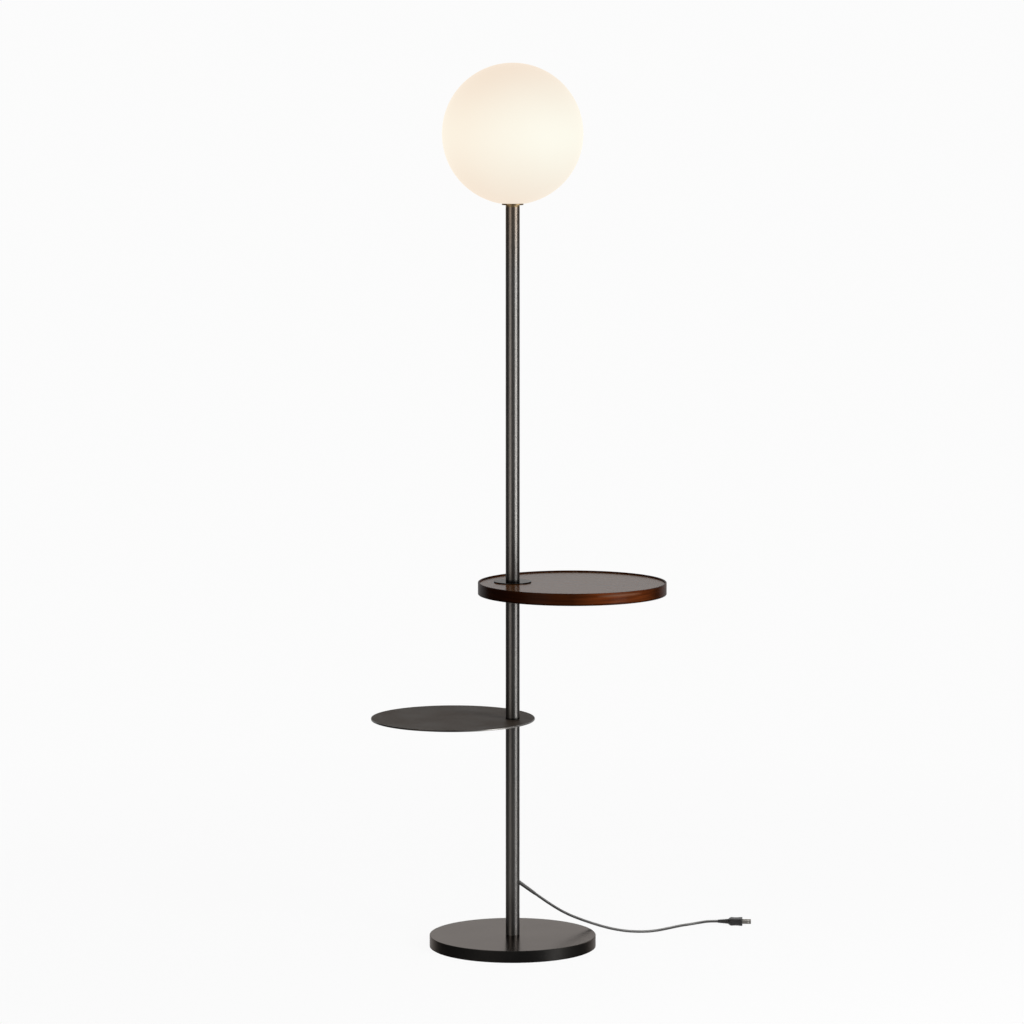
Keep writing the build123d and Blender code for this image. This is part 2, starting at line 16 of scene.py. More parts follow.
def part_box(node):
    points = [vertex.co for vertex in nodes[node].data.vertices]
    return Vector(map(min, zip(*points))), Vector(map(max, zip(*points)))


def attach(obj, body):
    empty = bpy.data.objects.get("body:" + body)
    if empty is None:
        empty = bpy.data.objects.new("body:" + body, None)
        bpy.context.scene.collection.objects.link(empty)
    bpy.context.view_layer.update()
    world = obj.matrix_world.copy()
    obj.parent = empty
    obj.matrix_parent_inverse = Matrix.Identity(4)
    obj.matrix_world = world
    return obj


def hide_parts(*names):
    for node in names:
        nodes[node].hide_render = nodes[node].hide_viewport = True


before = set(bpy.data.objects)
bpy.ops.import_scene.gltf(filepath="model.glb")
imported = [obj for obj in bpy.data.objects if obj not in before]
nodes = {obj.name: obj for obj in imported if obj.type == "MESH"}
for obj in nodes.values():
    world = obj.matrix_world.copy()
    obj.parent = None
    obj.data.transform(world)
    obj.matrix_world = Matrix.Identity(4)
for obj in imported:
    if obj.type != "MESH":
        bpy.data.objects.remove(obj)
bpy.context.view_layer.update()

scene = bpy.context.scene
scene.view_settings.view_transform = "Standard"

# %% [markdown]
# ## Camera
# The lamp is seen from far away, a little above its globe, which keeps its uprights parallel.
# A long lens at that distance gives the same flat view. The camera could be aimed with a constraint,
# but plain angles are easier to read and leave the camera free to move in other views.

# %% Camera
camera_height = 1.702
camera_distance = 8.200
camera_slide = -0.0012
camera_azimuth = radians(8.0)
camera_pitch = radians(6.2824)

camera_data = bpy.data.cameras.new("camera")
camera_data.sensor_width = 36.0
camera_data.lens = 160.10
camera = bpy.data.objects.new("camera", camera_data)
camera_back = Vector((sin(camera_azimuth), -cos(camera_azimuth), 0.0))
camera_right = Vector((cos(camera_azimuth), sin(camera_azimuth), 0.0))
camera.location = camera_back * camera_distance + camera_right * camera_slide
camera.location.z = camera_height
camera.rotation_euler = (pi / 2 - camera_pitch, 0.0, camera_azimuth)
scene.collection.objects.link(camera)
scene.camera = camera
print("camera at", [round(x, 3) for x in camera.location])

# %% [markdown]
# ## Cord
# The cord is a round plastic lead. It leaves a bush low on the pole, falls past the base, meets the
# floor and runs to a plug. A tube could be swept from straight runs and arcs, but that looks like bent
# wire. One smooth spline with the route's points as its controls lies the way a soft lead does.

# %% Cord
cord_diameter = 0.005
cord_route = [
    (0.03787, 0.02403, 0.09411),
    (0.04601, 0.02920, 0.08697),
    (0.06750, 0.04290, 0.06880),
    (0.09090, 0.06000, 0.05110),
    (0.11510, 0.07760, 0.03760),
    (0.14090, 0.09620, 0.02500),
    (0.16780, 0.11510, 0.01380),
    (0.19630, 0.13460, 0.00570),
    (0.22550, 0.15060, 0.00250),
    (0.24640, 0.16320, 0.00250),
    (0.26570, 0.18760, 0.00250),
    (0.28720, 0.21760, 0.00250),
    (0.30400, 0.23300, 0.00250),
    (0.31950, 0.24120, 0.00420),
    (0.33666, 0.24352, 0.00700),
    (0.35360, 0.24500, 0.00700),
]


def add_piece(name, data, body, replaced=()):
    """Puts a new piece into the scene, on its body, in place of the CAD nodes that it stands for."""
    piece = bpy.data.objects.new(name, data)
    scene.collection.objects.link(piece)
    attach(piece, body)
    if replaced:
        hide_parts(*replaced)
    return piece


cord_line = bpy.data.curves.new("cord_lead", "CURVE")
cord_line.dimensions = "3D"
# The radius of each point scales this depth of one metre.
cord_line.bevel_depth = 1.0
cord_line.bevel_resolution = 5
cord_line.resolution_u = 10
cord_line.use_fill_caps = True
spline = cord_line.splines.new("NURBS")
spline.points.add(len(cord_route) - 1)
for point, place in zip(spline.points, cord_route):
    point.co = (*place, 1.0)
    point.radius = cord_diameter / 2
spline.order_u = 3
spline.use_endpoint_u = True
cord = add_piece("cord_lead", cord_line, "stand", ["cord"])
print("cord:", len(cord_route), "points,", round(spline.calc_length(), 4), "m")

# %% [markdown]
# ## Skinning rings of points
# Moulded and blown pieces are closed skins round an axis. They could grow from a subdivided cage, but
# rings of points with faces between them give each cross-section its exact size.

# %% Skinning rings of points
SHARP = radians(40.0)
SAME_PLACE = 1e-7


def skin(name, rings):
    """A closed mesh through rings of equal count. A ring of no size closes to a point."""
    shape = bmesh.new()
    loops = [[shape.verts.new(place) for place in ring] for ring in rings]
    for lower, upper in zip(loops, loops[1:]):
        for i in range(len(lower)):
            j = (i + 1) % len(lower)
            shape.faces.new((lower[i], lower[j], upper[j], upper[i]))
    shape.faces.new(reversed(loops[0]))
    shape.faces.new(loops[-1])
    bmesh.ops.remove_doubles(shape, verts=shape.verts, dist=SAME_PLACE)
    bmesh.ops.recalc_face_normals(shape, faces=shape.faces)
    mesh = bpy.data.meshes.new(name)
    shape.to_mesh(mesh)
    shape.free()
    mesh.shade_smooth()
    mesh.set_sharp_from_angle(angle=SHARP)
    return mesh


def rounded(value, power):
    """A cosine or sine, bent towards a square as the power rises."""
    return copysign(abs(value) ** (2.0 / power), value)


def superellipse(along, half_width, half_height, power, count=48):
    """A ring of points across the X axis."""
    turns = [tau * (i + 0.5) / count for i in range(count)]
    return [
        (along, half_width * rounded(cos(turn), power), half_height * rounded(sin(turn), power))
        for turn in turns
    ]


print("helpers: skin, superellipse")

# %% [markdown]
# ## Plug
# A moulded plug is one soft shape: a thin neck that flares into a flat block with a dished grip.
# Boxes and cylinders would show hard joints, so its cross-sections are skinned in one go instead.
# Each is a superellipse, which goes from a circle to a rounded rectangle as its power rises.

# %% Plug
plug_entry = Vector(cord_route[-1])
plug_heading = radians(5.0)
plug_place = Matrix.Translation(plug_entry) @ Matrix.Rotation(plug_heading, 4, "Z")
# Each section: its distance from the cord's end, half its width, half its height and its power.
plug_sections = [
    (0.0000, 0.00300, 0.00300, 2.0),
    (0.0060, 0.00325, 0.00325, 2.0),
    (0.0180, 0.00430, 0.00430, 2.0),
    (0.0202, 0.00560, 0.00520, 2.2),
    (0.0214, 0.00880, 0.00610, 2.8),
    (0.0230, 0.01100, 0.00665, 3.8),
    (0.0256, 0.01180, 0.00692, 5.0),
    (0.0300, 0.01165, 0.00660, 5.0),
    (0.0340, 0.01155, 0.00645, 5.0),
    (0.0380, 0.01165, 0.00660, 5.0),
    (0.0418, 0.01192, 0.00694, 5.6),
    (0.0440, 0.01200, 0.00700, 6.0),
    (0.0450, 0.01196, 0.00697, 6.0),
    (0.0457, 0.01165, 0.00665, 6.0),
    (0.0460, 0.01100, 0.00600, 6.0),
]
plug_mesh = skin("plug_moulding", [superellipse(*section) for section in plug_sections])
plug_mesh.transform(plug_place)
plug = add_piece("plug_moulding", plug_mesh, "stand", ["plug_body"])
print("plug:", len(plug_mesh.polygons), "faces")

# %% [markdown]
# ## Node helpers
# Shader trees and geometry trees are made of nodes and links. They could be laid out by hand, but a
# script can be read through and run again. A few helpers keep the cells that follow short: one adds a
# node with its inputs, one does sums, one makes a group with named inputs.

# %% Node helpers
def fill(socket, value):
    """Sets a socket. A colour of three numbers is made opaque."""
    opaque = socket.type == "RGBA" and len(value) == 3
    socket.default_value = (*value, 1.0) if opaque else value


def put(tree, kind, inputs=None, **options):
    """Adds a node, sets its options, then fills or links its inputs."""
    node = tree.nodes.new(kind)
    for option, value in options.items():
        setattr(node, option, value)
    for socket, value in (inputs or {}).items():
        if isinstance(value, bpy.types.NodeSocket):
            tree.links.new(value, node.inputs[socket])
        else:
            fill(node.inputs[socket], value)
    return node


def calc(tree, operation, *terms):
    """One sum on one, two or three terms."""
    return put(tree, "ShaderNodeMath", dict(enumerate(terms)), operation=operation).outputs[0]


def times(tree, first, second):
    """Two numbers multiplied."""
    return calc(tree, "MULTIPLY", first, second)


def spread(tree, value, from_low, from_high, to_low=0.0, to_high=1.0):
    """Maps one range of values onto another, and clamps what lies outside."""
    ends = {"From Min": from_low, "From Max": from_high, "To Min": to_low, "To Max": to_high}
    return put(tree, "ShaderNodeMapRange", {"Value": value, **ends}).outputs[0]


def between(tree, mask, low, high):
    """A number that goes from low to high as a mask rises."""
    return spread(tree, mask, 0.0, 1.0, low, high)


def socket_kind(value):
    """The kind of socket that holds a value: a colour has four numbers and a vector three."""
    if isinstance(value, tuple):
        return "NodeSocketColor" if len(value) == 4 else "NodeSocketVector"
    kinds = {int: "NodeSocketInt", float: "NodeSocketFloat", type(None): "NodeSocketMaterial"}
    return kinds[type(value)]


def new_group(name, tree_kind, inputs, outputs):
    """A node group with named sockets: gives its tree, its inputs and the node that takes its results."""
    tree = bpy.data.node_groups.new(name, tree_kind)
    for label, value in inputs.items():
        socket = tree.interface.new_socket(label, in_out="INPUT", socket_type=socket_kind(value))
        if value is not None:
            socket.default_value = value
    for label, kind in outputs.items():
        tree.interface.new_socket(label, in_out="OUTPUT", socket_type=kind)
    return tree, put(tree, "NodeGroupInput").outputs, put(tree, "NodeGroupOutput")


def give(tree, results, **values):
    """Links the finished values of a group to its outputs."""
    for label, value in values.items():
        tree.links.new(value, results.inputs[label])


print("helpers: put, calc, times, spread, between, new_group, give")

# %% [markdown]
# ## World
# The lamp stands in an even white studio. One bright dome could be its background and its light, but
# then colours would wash out. So the camera, polished metal and glass see a nearly full white, while
# the light that it throws on the lamp is weak.

# %% World
backdrop_level = 0.97
fill_level = 0.16

world = bpy.data.worlds.new("studio")
scene.world = world
world.use_nodes = True
world_tree = world.node_tree
world_tree.nodes.clear()
rays = put(world_tree, "ShaderNodeLightPath").outputs
seen = calc(world_tree, "MAXIMUM", rays["Is Camera Ray"], rays["Is Glossy Ray"])
seen = calc(world_tree, "MAXIMUM", seen, rays["Is Transmission Ray"])
level = between(world_tree, seen, fill_level, backdrop_level)
sky = put(world_tree, "ShaderNodeBackground", {"Color": (1.0, 1.0, 1.0), "Strength": level})
put(world_tree, "ShaderNodeOutputWorld", {"Surface": sky.outputs[0]})
print("world:", backdrop_level, "seen,", fill_level, "as light")

# %% [markdown]
# ## Floor
# The floor runs into the white background without a horizon. A plain white disc would show its rim, so
# this one is a thin veil: mostly clear, glowing a little to match the background, and fading out away
# from the pole. What it still shows is the soft shadow of the lamp.

# %% Floor
floor_radius = 2.6
floor_points = 96
floor_veil = 0.10
floor_full = 0.7
floor_clear = 2.3
floor_glow = 0.63


def level_ring(radius, height, count):
    """Points on a level circle about the pole."""
    turns = [tau * i / count for i in range(count)]
    return [(radius * cos(turn), radius * sin(turn), height) for turn in turns]


def add_prop(name, places, faces):
    """A mesh of the studio, not of the lamp: gives its object and an empty shader tree for its paint."""
    mesh = bpy.data.meshes.new(name)
    mesh.from_pydata(places, [], faces)
    prop = bpy.data.objects.new(name, mesh)
    scene.collection.objects.link(prop)
    paint = bpy.data.materials.new(name + "_paint")
    paint.use_nodes = True
    paint.node_tree.nodes.clear()
    mesh.materials.append(paint)
    return prop, paint.node_tree


floor_ring = level_ring(floor_radius, 0.0, floor_points)
floor, floor_tree = add_prop("floor", floor_ring, [list(range(floor_points))])
floor_place = put(floor_tree, "ShaderNodeTexCoord").outputs["Object"]
from_pole = put(floor_tree, "ShaderNodeVectorMath", {0: floor_place}, operation="LENGTH").outputs["Value"]
veil = spread(floor_tree, from_pole, floor_full, floor_clear, floor_veil, 0.0)
clear = put(floor_tree, "ShaderNodeBsdfTransparent")
matt = put(floor_tree, "ShaderNodeBsdfDiffuse", {"Color": (0.95, 0.95, 0.95)})
glow = put(floor_tree, "ShaderNodeEmission", {"Strength": floor_glow})
lit = put(floor_tree, "ShaderNodeAddShader", {0: matt.outputs[0], 1: glow.outputs[0]})
veiled = put(floor_tree, "ShaderNodeMixShader", {0: veil, 1: clear.outputs[0], 2: lit.outputs[0]})
put(floor_tree, "ShaderNodeOutputMaterial", {"Surface": veiled.outputs[0]})
print(floor.name, "radius", floor_radius)

# %% [markdown]
# ## Lights
# The pole tells where the lights stand: a narrow bright band on its right and a broad dim one on its
# left. Point lamps would leave mere dots. So a tall narrow panel stands to the right of the camera and a
# wide, weak, warm one to its left, both seen only in reflections. A third, which isn't mirrored, lights
# the surfaces. A panel's power follows from the brightness that a mirror should show.

# %% Lights
panel_distance = 2.6


def add_panel(name, turn, low, high, width, brightness, colour=(1.0, 1.0, 1.0)):
    """A tall light panel that faces the pole. Its turn is to the camera's right, in degrees."""
    angle = camera_azimuth + radians(turn)
    tall = high - low
    lamp = bpy.data.lights.new(name, "AREA")
    lamp.shape = "RECTANGLE"
    lamp.size = width
    lamp.size_y = tall
    lamp.color = colour
    lamp.energy = brightness * pi * width * tall
    panel = bpy.data.objects.new(name, lamp)
    panel.location = (panel_distance * sin(angle), -panel_distance * cos(angle), (low + high) / 2)
    panel.rotation_euler = (pi / 2, 0.0, angle)
    panel.visible_camera = False
    scene.collection.objects.link(panel)
    print(name, round(lamp.energy, 1), "W")
    return panel


key_panel = add_panel("key_panel", turn=58.0, low=-0.30, high=2.15, width=0.85, brightness=7.7)
key_panel.visible_diffuse = False
left_panel = add_panel(
    "left_panel", turn=-40.0, low=-0.12, high=2.25, width=1.30, brightness=1.90, colour=(1.0, 0.93, 0.87)
)
left_panel.visible_diffuse = False
soft_panel = add_panel("soft_panel", turn=44.0, low=-0.30, high=2.15, width=0.85, brightness=7.0)
soft_panel.visible_glossy = False

# %% [markdown]
# ## Dark cards
# Dark metal looks dark because it has something dark to mirror. A darker metal could be used in a room
# that is white all round, but it would lose its bright bands. So, as photographers do, a curved wall of
# black cards stands on the camera's side. It shows in reflections and nowhere else.

# %% Dark cards
card_distance = 3.0
card_reach = radians(130.0)
card_low = -1.2
card_high = 3.6
card_level = 0.07
card_count = 48

card_turns = [camera_azimuth + card_reach * (2 * i / card_count - 1) for i in range(card_count + 1)]
card_places = [
    (card_distance * sin(turn), -card_distance * cos(turn), height)
    for turn in card_turns
    for height in (card_low, card_high)
]
card_faces = [(2 * i, 2 * i + 1, 2 * i + 3, 2 * i + 2) for i in range(card_count)]
cards, card_tree = add_prop("dark_cards", card_places, card_faces)
cards.visible_camera = False
cards.visible_diffuse = False
cards.visible_transmission = False
cards.visible_shadow = False
card_grey = put(card_tree, "ShaderNodeEmission", {"Strength": card_level})
put(card_tree, "ShaderNodeOutputMaterial", {"Surface": card_grey.outputs[0]})
print(cards.name, card_count, "panes at", card_distance, "m")

# %% [markdown]
# ## Shared effects
# Real finishes are never even. A few effects return on most of them, first of all slow patches and the
# fine strands of brushing. They could be painted on images, but a shader group is built once and fits
# any piece. It reads the place on the object, so it stays put when a piece turns. Noise hovers about one
# half, so each mask spreads its middle over the full range.

# %% Slow variation and brushing
MASK = {"Mask": "NodeSocketFloat"}


def shader_group(name, inputs, outputs):
    """A shader group that takes a place on the object besides its own inputs."""
    return new_group(name, "ShaderNodeTree", {"Vector": (0.0, 0.0, 0.0), **inputs}, outputs)


def scaled(tree, vector, along_x, along_y, along_z):
    """A vector with each of its numbers multiplied."""
    factors = put(tree, "ShaderNodeCombineXYZ", {0: along_x, 1: along_y, 2: along_z}).outputs[0]
    return put(tree, "ShaderNodeVectorMath", {0: vector, 1: factors}, operation="MULTIPLY").outputs[0]


def noise(tree, vector, scale=1.0, detail=3.0):
    """Smooth noise. Its scale is about how many spots there are to the metre."""
    return put(tree, "ShaderNodeTexNoise", {"Vector": vector, "Scale": scale, "Detail": detail}).outputs[0]


variation, given, results = shader_group("slow_variation", {"Scale": 20.0}, MASK)
patches = noise(variation, given["Vector"], given["Scale"], detail=4.0)
give(variation, results, Mask=spread(variation, patches, 0.32, 0.68))

brushing, given, results = shader_group("brushing", {"Across": 900.0, "Along": 4.0}, MASK)
stretched = scaled(brushing, given["Vector"], given["Across"], given["Across"], given["Along"])
strands = noise(brushing, stretched, detail=2.0)
give(brushing, results, Mask=spread(brushing, strands, 0.3, 0.7))
print("groups:", variation.name, brushing.name)

# %% [markdown]
# ## Turning marks, rubbed edges and dust
# A lathe leaves rings, hands rub the edge of a round piece, and dust settles on what faces up. On the rim
# the rubbed-edge mask also carries a painted highlight. All could be drawn on an unwrapped map, but round
# pieces have a simpler guide, the distance from their axis, and dust goes by the direction of the face.
# It lies in fine specks that gather in drifts.

# %% Turning marks, rubbed edges and dust
rub_spots = 45.0
speck_spots = 700.0
drift_spots = 14.0


def upright(tree, vector):
    """The height of a place, or how far a direction points up."""
    return put(tree, "ShaderNodeSeparateXYZ", {0: vector}).outputs["Z"]


def facing_up(tree):
    """One on a level face and nought on a wall."""
    return upright(tree, put(tree, "ShaderNodeNewGeometry").outputs["Normal"])


def from_axis(tree, vector, centre_x=0.0):
    """Splits a place into its distance from an upright axis, its height and its turn about that axis."""
    parts = put(tree, "ShaderNodeSeparateXYZ", {0: vector}).outputs
    across = calc(tree, "SUBTRACT", parts["X"], centre_x)
    squares = calc(tree, "ADD", calc(tree, "POWER", across, 2.0), calc(tree, "POWER", parts["Y"], 2.0))
    return calc(tree, "SQRT", squares), parts["Z"], calc(tree, "ARCTAN2", parts["Y"], across)


turning, given, results = shader_group("turning_marks", {"Pitch": 0.0006}, MASK)
reach, _, _ = from_axis(turning, given["Vector"])
marks = put(
    turning,
    "ShaderNodeTexNoise",
    {"W": calc(turning, "DIVIDE", reach, given["Pitch"]), "Scale": 1.0, "Detail": 2.0},
    noise_dimensions="1D",
).outputs[0]
give(turning, results, Mask=spread(turning, marks, 0.3, 0.7))

rub_and_highlight, given, results = shader_group(
    "rubbed_edge_and_highlight", {"Centre X": 0.0, "Radius": 0.1, "Height": 0.0, "Width": 0.002}, MASK
)
reach, height, _ = from_axis(rub_and_highlight, given["Vector"], given["Centre X"])
inward = calc(rub_and_highlight, "POWER", calc(rub_and_highlight, "SUBTRACT", reach, given["Radius"]), 2.0)
upward = calc(rub_and_highlight, "POWER", calc(rub_and_highlight, "SUBTRACT", height, given["Height"]), 2.0)
distance = calc(rub_and_highlight, "SQRT", calc(rub_and_highlight, "ADD", inward, upward))
near = spread(rub_and_highlight, distance, 0.0, given["Width"], 1.0, 0.0)
uneven = spread(rub_and_highlight, noise(rub_and_highlight, given["Vector"], rub_spots), 0.35, 0.65)
give(rub_and_highlight, results, Mask=times(rub_and_highlight, near, uneven))

dusting, given, results = shader_group("settled_dust", {"Amount": 0.1}, MASK)
flat = spread(dusting, facing_up(dusting), 0.7, 1.0)
specks = spread(dusting, noise(dusting, given["Vector"], speck_spots), 0.45, 0.75)
drifts = spread(dusting, noise(dusting, given["Vector"], drift_spots), 0.3, 0.8)
amount = times(dusting, times(dusting, specks, drifts), given["Amount"])
give(dusting, results, Mask=times(dusting, flat, amount))
print("groups:", turning.name, rub_and_highlight.name, dusting.name)

# %% [markdown]
# ## Wood grain
# Walnut shows wide soft bands, fine fibres along them and short dark pores. A picture of a board could be
# wrapped on, but it would stretch on a hoop. The group takes a place whose X runs along the grain, so
# that the same wood can run straight over a panel or round a hoop.

# %% Wood grain
BROWN = (0.05, 0.02, 0.01, 1.0)
band_lean = 0.35
wander_reach = 0.05
# Spots to the metre, along the grain and the two ways across it.
wander_spots = (3.0, 22.0, 22.0)
fibre_spots = (14.0, 800.0, 800.0)
pore_spots = (60.0, 1900.0, 1900.0)
fibre_share = 0.55
pore_share = 0.6


def blend(tree, mask, first, second):
    """Goes from the first colour to the second as the mask rises."""
    return put(tree, "ShaderNodeMix", {0: mask, 6: first, 7: second}, data_type="RGBA").outputs[2]


grain, given, results = shader_group(
    "walnut_grain",
    {"Band": 0.008, "Dark": BROWN, "Middle": BROWN, "Light": BROWN},
    {"Colour": "NodeSocketColor", "Height": "NodeSocketFloat"},
)
wander = noise(grain, scaled(grain, given["Vector"], *wander_spots))
parts = put(grain, "ShaderNodeSeparateXYZ", {0: given["Vector"]}).outputs
across = calc(grain, "MULTIPLY_ADD", parts["Z"], band_lean, parts["Y"])
across = calc(grain, "MULTIPLY_ADD", wander, wander_reach, across)
rings = calc(grain, "SINE", times(grain, calc(grain, "DIVIDE", across, given["Band"]), tau))
bands = spread(grain, rings, -1.0, 0.9)
fibres = spread(grain, noise(grain, scaled(grain, given["Vector"], *fibre_spots)), 0.35, 0.7)
pores = spread(grain, noise(grain, scaled(grain, given["Vector"], *pore_spots)), 0.6, 0.7)
wood = blend(grain, bands, given["Dark"], given["Middle"])
wood = blend(grain, times(grain, fibres, fibre_share), wood, given["Light"])
wood = blend(grain, times(grain, pores, pore_share), wood, given["Dark"])
give(grain, results, Colour=wood, Height=calc(grain, "SUBTRACT", fibres, pores))
print("group:", grain.name)

# %% [markdown]
# ## Finishes
# Each finish starts from Blender's own surface shader. Simpler shaders could be mixed by hand, but this
# one keeps its values in known ranges. What is the same all over is set on it, and what changes over the
# surface comes from the groups. The helpers do that and put a finish on the pieces that wear it.

# %% Helpers for finishes
def labelled(values):
    """Values by the labels of their sockets: coat_weight stands for Coat Weight."""
    return {name.replace("_", " ").title().replace("Ior", "IOR"): value for name, value in values.items()}


def new_finish(name, **values):
    """A material with plain values set: gives it, its tree, its shader and the place on the object."""
    material = bpy.data.materials.new(name)
    material.use_nodes = True
    tree = material.node_tree
    shader = tree.nodes["Principled BSDF"]
    for label, value in labelled(values).items():
        fill(shader.inputs[label], value)
    return material, tree, shader, put(tree, "ShaderNodeTexCoord").outputs["Object"]


def use(tree, group, vector, **values):
    """Places a shared effect: gives its outputs."""
    return put(tree, "ShaderNodeGroup", {"Vector": vector, **labelled(values)}, node_tree=group).outputs


def apart(tree, first, second):
    """How far apart two numbers are."""
    return calc(tree, "ABSOLUTE", calc(tree, "SUBTRACT", first, second))


def towards(tree, turn, side):
    """The cosine of the turn away from a side: one on it and minus one on the far side."""
    return calc(tree, "COSINE", calc(tree, "SUBTRACT", turn, side))


def wear(tree, shader, **values):
    """Links what changes over the surface to the shader."""
    for label, value in labelled(values).items():
        tree.links.new(value, shader.inputs[label])


def roughen(tree, shader, height, depth, strength):
    """Bumps the surface by a height that stands for so many metres."""
    bump = put(tree, "ShaderNodeBump", {"Height": height, "Strength": strength, "Distance": depth})
    tree.links.new(bump.outputs[0], shader.inputs["Normal"])


def dress(material, *pieces):
    """Gives a material to CAD nodes, by name, and to new pieces."""
    for piece in pieces:
        target = nodes[piece] if isinstance(piece, str) else piece
        if not target.material_slots:
            target.data.materials.append(material)
        target.material_slots[0].material = material
    print(material.name, "on", len(pieces))


print("helpers: new_finish, use, wear, roughen, dress")

# %% [markdown]
# ## Gunmetal pole
# The tubes are steel with a dark burnished finish, drawn lengthwise. An even grey could stand for it, but
# drawn metal lives by its gloss, so fine strands vary its colour and roughness, and a dark tint keeps
# the sides of the tube from glaring white. A painted reflection warms it under the globe, and painted
# shade darkens it below the tray, less so at the foot. A painted contact shadow makes a dark ring where a
# tube stands on the shelf or the tray.

# %% Gunmetal pole
pole_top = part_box("upper_tube")[1][2]
tray_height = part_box("tray_rim")[1][2]
shade_fade = 0.11
shade_foot_low = 0.05
shade_foot_high = 0.38
shade_foot_share = 0.35
globe_reflection_start = pole_top - 0.12
globe_reflection_full = pole_top - 0.01
globe_reflection_share = 0.7
contact_shadow_full = 0.0016
contact_shadow_end = 0.0030
contact_shadow_share = 0.9
drawn_dull = (0.160, 0.154, 0.147)
drawn_bright = (0.178, 0.171, 0.163)
painted_shade_dark = (0.123, 0.118, 0.113)
painted_globe_reflection = (0.205, 0.160, 0.122)
painted_contact_shadow = (0.016, 0.015, 0.014)

gunmetal, tree, shader, place = new_finish("gunmetal", metallic=1.0, specular_tint=(0.45, 0.44, 0.43))
strands = use(tree, brushing, place, across=500.0, along=3.0)["Mask"]
smudges = use(tree, variation, place, scale=9.0)["Mask"]
height = upright(tree, place)
metal = blend(tree, strands, drawn_dull, drawn_bright)
# Painted shade: the tubes are painted darker below the tray, less so at the foot.
shaded_below_tray = spread(tree, height, tray_height, tray_height + shade_fade, 1.0, 0.0)
shade_above_foot = spread(tree, height, shade_foot_low, shade_foot_high, shade_foot_share, 1.0)
metal = blend(tree, times(tree, shaded_below_tray, shade_above_foot), metal, painted_shade_dark)
# Painted reflection: the globe's warm light is painted onto the top of the pole.
globe_reflection = spread(tree, height, globe_reflection_start, globe_reflection_full)
metal = blend(tree, times(tree, globe_reflection, globe_reflection_share), metal, painted_globe_reflection)
# Painted contact shadow: a dark ring is painted at the foot of the middle and upper tubes.
for tube in ("middle_tube", "upper_tube"):
    from_foot = apart(tree, height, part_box(tube)[0][2])
    metal = blend(tree, spread(tree, from_foot, contact_shadow_full, contact_shadow_end, contact_shadow_share, 0.0), metal, painted_contact_shadow)
gloss = between(tree, smudges, 0.33, 0.38)
gloss = calc(tree, "MULTIPLY_ADD", strands, 0.03, gloss)
wear(tree, shader, base_color=metal, roughness=gloss)
roughen(tree, shader, strands, depth=0.00002, strength=0.1)
dress(gunmetal, "lower_tube", "middle_tube", "upper_tube")

# %% [markdown]
# ## Black base
# The base is a spun steel cover, blackened and waxed: dark from the front, and grey at a flat angle where
# it mirrors the room. Black paint would turn paler there, so it is a dark metal whose tint holds that
# mirror back. The side is rougher than the top, the edge is rubbed, and dust, which isn't metal, dulls it.

# %% Black base
DUST = (0.16, 0.15, 0.14)
base_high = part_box("base_cover")[1]
base_radius = base_high[0]
side_start = base_radius - 0.0012
side_full = base_radius - 0.0008
side_roughness = 0.14
base_dull = (0.021, 0.0200, 0.0190)
base_bright = (0.028, 0.0266, 0.0252)
base_rubbed = (0.06, 0.058, 0.055)

base_black, tree, shader, place = new_finish("base_black", specular_tint=(0.68, 0.64, 0.615))
patches = use(tree, variation, place, scale=11.0)["Mask"]
rub_and_highlight_mask = use(tree, rub_and_highlight, place, radius=base_radius, height=base_high[2], width=0.0016)["Mask"]
dust = use(tree, dusting, place, amount=0.05)["Mask"]
black = blend(tree, patches, base_dull, base_bright)
black = blend(tree, times(tree, rub_and_highlight_mask, 0.5), black, base_rubbed)
black = blend(tree, dust, black, DUST)
reach, _, _ = from_axis(tree, place)
side = spread(tree, reach, side_start, side_full)
gloss = between(tree, patches, 0.19, 0.23)
gloss = calc(tree, "MULTIPLY_ADD", dust, 0.4, gloss)
gloss = calc(tree, "MULTIPLY_ADD", side, side_roughness, gloss)
clean = between(tree, dust, 1.0, 0.0)
wear(tree, shader, base_color=black, roughness=gloss, metallic=clean)
roughen(tree, shader, noise(tree, place, scale=1400.0, detail=2.0), depth=0.00006, strength=0.06)
dress(base_black, "base_cover")

# %% [markdown]
# ## Bronze shelf
# The shelf is a thin steel plate with a matt brown-grey coat. It is rougher than the base and hardly
# shines, so it stays dark even at a flat angle. Its edge could be a piece of its own, but a mask by the
# distance from the middle does the same: bare dark metal, with a painted highlight on its front right side.

# %% Bronze shelf
shelf_low, shelf_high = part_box("shelf_plate")
shelf_middle = (shelf_low[0] + shelf_high[0]) / 2
shelf_radius = (shelf_high[0] - shelf_low[0]) / 2
bare_start = shelf_radius - 0.0009
bare_full = shelf_radius - 0.0006
bare_polish = -0.14
highlight_side = radians(-44.0)
highlight_start = 0.80
highlight_full = 0.97
bronze_dark = (0.080, 0.063, 0.049)
bronze_light = (0.104, 0.083, 0.066)
bronze_rubbed = (0.22, 0.20, 0.18)
bare_dark = (0.040, 0.037, 0.034)
painted_edge_highlight = (0.270, 0.260, 0.247)

shelf_bronze, tree, shader, place = new_finish("shelf_bronze", specular_ior_level=0.025)
patches = use(tree, variation, place, scale=16.0)["Mask"]
rub_and_highlight_mask = use(
    tree, rub_and_highlight, place, centre_x=shelf_middle, radius=shelf_radius, height=shelf_high[2], width=0.0022
)["Mask"]
dust = use(tree, dusting, place, amount=0.10)["Mask"]
coat = blend(tree, patches, bronze_dark, bronze_light)
coat = blend(tree, times(tree, rub_and_highlight_mask, 0.15), coat, bronze_rubbed)
coat = blend(tree, dust, coat, DUST)
reach, _, turn = from_axis(tree, place, shelf_middle)
bare = spread(tree, reach, bare_start, bare_full)
